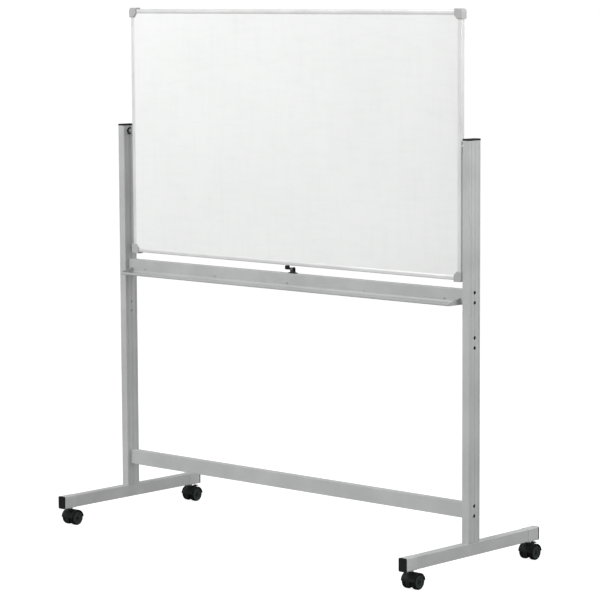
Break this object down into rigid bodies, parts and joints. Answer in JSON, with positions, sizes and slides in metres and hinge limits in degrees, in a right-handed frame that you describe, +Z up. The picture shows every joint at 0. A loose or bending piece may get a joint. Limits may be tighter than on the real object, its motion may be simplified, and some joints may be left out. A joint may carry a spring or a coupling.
{
  "type": "rolling whiteboard",
  "caption": "Double-sided whiteboard in an aluminium frame, turning between two uprights on a castored stand with cross bars, a pen tray and a latch.",
  "frame": {"origin": "on the floor, under the middle of the object", "axes": "+X along the board, -Y out of the face with the pen tray, +Z up"},
  "size_m": [1.707, 0.712, 1.899],
  "materials": {
    "enamel_white": "gloss",
    "honeycomb_core": "matte",
    "anodised_aluminium": "satin",
    "silver_paint": "satin",
    "grey_plastic": "matte",
    "black_plastic": "matte",
    "castor_tread": "matte",
    "black_steel": "satin",
    "steel_fittings": "satin"
  },
  "bodies": {
    "stand": {"base_plugs": "black_plastic", "castor_nuts": "steel_fittings", "castor_stems": "steel_fittings", "foot_bolts": "steel_fittings", "foot_caps_left": "black_plastic", "foot_caps_right": "black_plastic", "foot_left": "silver_paint", "foot_right": "silver_paint", "foot_sleeves_left": "silver_paint", "foot_sleeves_right": "silver_paint", "latch_bracket": "black_steel", "latch_pin": "steel_fittings", "latch_screws": "steel_fittings", "lower_bar": "silver_paint", "lower_bar_sockets": "silver_paint", "pen_tray": "anodised_aluminium", "pivot_bushes": "black_plastic", "rail_bolts": "steel_fittings", "tray_end_caps": "grey_plastic", "tray_screws": "steel_fittings", "upper_rail": "silver_paint", "upper_rail_sockets": "silver_paint", "upright_cap_left": "black_plastic", "upright_cap_right": "black_plastic", "upright_left": "silver_paint", "upright_right": "silver_paint"},
    "board": {"front_writing_sheet": "enamel_white", "rear_writing_sheet": "enamel_white", "core_panel": "honeycomb_core", "frame_rail_top": "anodised_aluminium", "frame_rail_bottom": "anodised_aluminium", "pivot_screws": "steel_fittings", "pivot_nuts": "steel_fittings", "frame_stile_left": "anodised_aluminium", "frame_stile_right": "anodised_aluminium", "corner_cap_bottom_left": "grey_plastic", "corner_cap_bottom_right": "grey_plastic", "corner_cap_top_left": "grey_plastic", "corner_cap_top_right": "grey_plastic", "pivot_shaft_left": "steel_fittings", "pivot_shaft_right": "steel_fittings"},
    "latch": {"latch_lever": "black_plastic"},
    "castor_front_left": {"castor_hood_front_left": "black_plastic", "castor_axle_front_left": "steel_fittings"},
    "inner_wheel_front_left": {"wheel_inner_front_left": "castor_tread"},
    "outer_wheel_front_left": {"wheel_outer_front_left": "castor_tread"},
    "castor_front_right": {"castor_hood_front_right": "black_plastic", "castor_axle_front_right": "steel_fittings"},
    "inner_wheel_front_right": {"wheel_inner_front_right": "castor_tread"},
    "outer_wheel_front_right": {"wheel_outer_front_right": "castor_tread"},
    "castor_rear_left": {"castor_hood_rear_left": "black_plastic", "castor_axle_rear_left": "steel_fittings"},
    "inner_wheel_rear_left": {"wheel_inner_rear_left": "castor_tread"},
    "outer_wheel_rear_left": {"wheel_outer_rear_left": "castor_tread"},
    "castor_rear_right": {"castor_hood_rear_right": "black_plastic", "castor_axle_rear_right": "steel_fittings"},
    "inner_wheel_rear_right": {"wheel_inner_rear_right": "castor_tread"},
    "outer_wheel_rear_right": {"wheel_outer_rear_right": "castor_tread"},
    "brake_rear_left": {"brake_lever_rear_left": "black_plastic"},
    "brake_rear_right": {"brake_lever_rear_right": "black_plastic"}
  },
  "joints": [
    {"name": "board_pivot", "type": "hinge", "parent": "stand", "child": "board", "pos_m": [0, 0, 1.444], "axis": [1, 0, 0], "continuous": true},
    {"name": "latch_hook", "type": "hinge", "parent": "stand", "child": "latch", "pos_m": [0.014, 0, 0.982], "axis": [0, 1, 0], "range_deg": [0, 18]},
    {"name": "swivel_front_left", "type": "hinge", "parent": "stand", "child": "castor_front_left", "pos_m": [-0.8245, -0.313, 0.062], "axis": [0, 0, 1], "continuous": true},
    {"name": "inner_wheel_spin_front_left", "type": "hinge", "parent": "castor_front_left", "child": "inner_wheel_front_left", "pos_m": [-0.8245, -0.301, 0.027], "axis": [1, 0, 0], "continuous": true},
    {"name": "outer_wheel_spin_front_left", "type": "hinge", "parent": "castor_front_left", "child": "outer_wheel_front_left", "pos_m": [-0.8245, -0.301, 0.027], "axis": [1, 0, 0], "continuous": true},
    {"name": "swivel_front_right", "type": "hinge", "parent": "stand", "child": "castor_front_right", "pos_m": [0.8245, -0.313, 0.062], "axis": [0, 0, 1], "continuous": true},
    {"name": "inner_wheel_spin_front_right", "type": "hinge", "parent": "castor_front_right", "child": "inner_wheel_front_right", "pos_m": [0.8245, -0.301, 0.027], "axis": [1, 0, 0], "continuous": true},
    {"name": "outer_wheel_spin_front_right", "type": "hinge", "parent": "castor_front_right", "child": "outer_wheel_front_right", "pos_m": [0.8245, -0.301, 0.027], "axis": [1, 0, 0], "continuous": true},
    {"name": "swivel_rear_left", "type": "hinge", "parent": "stand", "child": "castor_rear_left", "pos_m": [-0.8245, 0.313, 0.062], "axis": [0, 0, 1], "continuous": true},
    {"name": "inner_wheel_spin_rear_left", "type": "hinge", "parent": "castor_rear_left", "child": "inner_wheel_rear_left", "pos_m": [-0.8245, 0.325, 0.027], "axis": [1, 0, 0], "continuous": true},
    {"name": "outer_wheel_spin_rear_left", "type": "hinge", "parent": "castor_rear_left", "child": "outer_wheel_rear_left", "pos_m": [-0.8245, 0.325, 0.027], "axis": [1, 0, 0], "continuous": true},
    {"name": "brake_rear_left", "type": "hinge", "parent": "castor_rear_left", "child": "brake_rear_left", "pos_m": [-0.8245, 0.3312, 0.0497], "axis": [-1, 0, 0], "range_deg": [0, 7]},
    {"name": "swivel_rear_right", "type": "hinge", "parent": "stand", "child": "castor_rear_right", "pos_m": [0.8245, 0.313, 0.062], "axis": [0, 0, 1], "continuous": true},
    {"name": "inner_wheel_spin_rear_right", "type": "hinge", "parent": "castor_rear_right", "child": "inner_wheel_rear_right", "pos_m": [0.8245, 0.325, 0.027], "axis": [1, 0, 0], "continuous": true},
    {"name": "outer_wheel_spin_rear_right", "type": "hinge", "parent": "castor_rear_right", "child": "outer_wheel_rear_right", "pos_m": [0.8245, 0.325, 0.027], "axis": [1, 0, 0], "continuous": true},
    {"name": "brake_rear_right", "type": "hinge", "parent": "castor_rear_right", "child": "brake_rear_right", "pos_m": [0.8245, 0.3312, 0.0497], "axis": [-1, 0, 0], "range_deg": [0, 7]}
  ]
}
